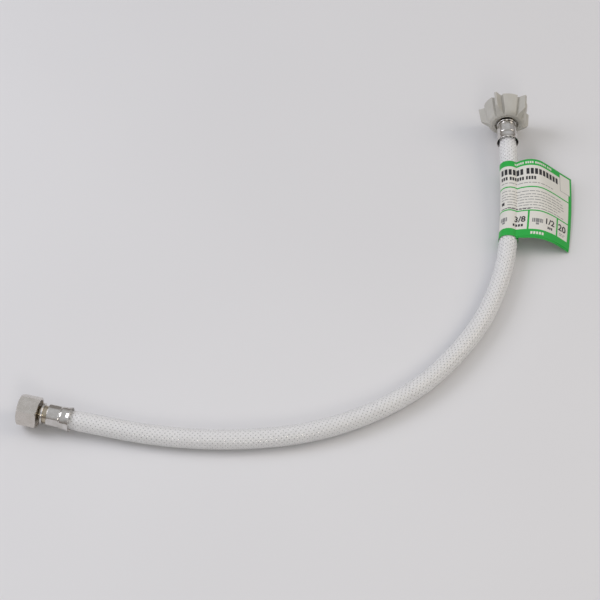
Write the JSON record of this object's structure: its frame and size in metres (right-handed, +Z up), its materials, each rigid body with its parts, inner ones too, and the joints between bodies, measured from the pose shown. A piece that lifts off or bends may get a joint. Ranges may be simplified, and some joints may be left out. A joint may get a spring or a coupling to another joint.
{
  "type": "faucet supply line",
  "caption": "Flexible braid-reinforced vinyl faucet supply line with a hex compression nut, a winged pipe-thread nut and a folded flag label.",
  "frame": {"origin": "on the floor, below the middle of the fittings' bounding box; the hose and the label are left out of that box", "axes": "+Z up, away from the floor the line lies on; +X from the compression nut towards the pipe-thread nut's side; +Y along the pipe-thread end, towards its open face"},
  "size_m": [0.3541, 0.2823, 0.0351],
  "materials": {
    "nickel_brass": "satin nickel plate on brass",
    "stem_brass": "machined",
    "stainless": "bright drawn stainless",
    "jacket_pvc": "glossy translucent vinyl",
    "braid_polyester": "white yarn",
    "liner_pvc": "smooth vinyl",
    "nut_plastic": "light warm grey moulded acetal",
    "washer_rubber": "matte black",
    "label_film": "printed film, green and white"
  },
  "bodies": {
    "hose_assembly": {"hose_jacket": "jacket_pvc", "hose_braid": "braid_polyester", "hose_liner": "liner_pvc", "flag_label": "label_film", "compression_stem": "stem_brass", "compression_retaining_ring": "stainless", "compression_ferrule": "stainless", "pipe_stem": "stem_brass", "pipe_retaining_ring": "stainless", "pipe_ferrule": "stainless"},
    "cone_washer": {"cone_washer": "washer_rubber"},
    "hex_nut": {"hex_nut": "nickel_brass"},
    "pipe_washer": {"pipe_washer": "washer_rubber"},
    "wing_nut": {"wing_nut": "nut_plastic"}
  },
  "joints": [
    {"name": "hex_nut_spin", "type": "hinge", "parent": "hose_assembly", "child": "cone_washer", "pos_m": [-0.15682, -0.12143, 0.01054], "axis": [0.9759, -0.2089, -0.063], "continuous": true},
    {"name": "hex_nut_slide", "type": "slide", "parent": "cone_washer", "child": "hex_nut", "axis": [0.9759, -0.2089, -0.063], "range_m": [0, 0.0025]},
    {"name": "wing_nut_spin", "type": "hinge", "parent": "hose_assembly", "child": "pipe_washer", "pos_m": [0.14847, 0.12614, 0.01733], "axis": [-0.0174, -0.9944, -0.1047], "continuous": true},
    {"name": "wing_nut_slide", "type": "slide", "parent": "pipe_washer", "child": "wing_nut", "axis": [-0.0174, -0.9944, -0.1047], "range_m": [0, 0.0017]}
  ]
}
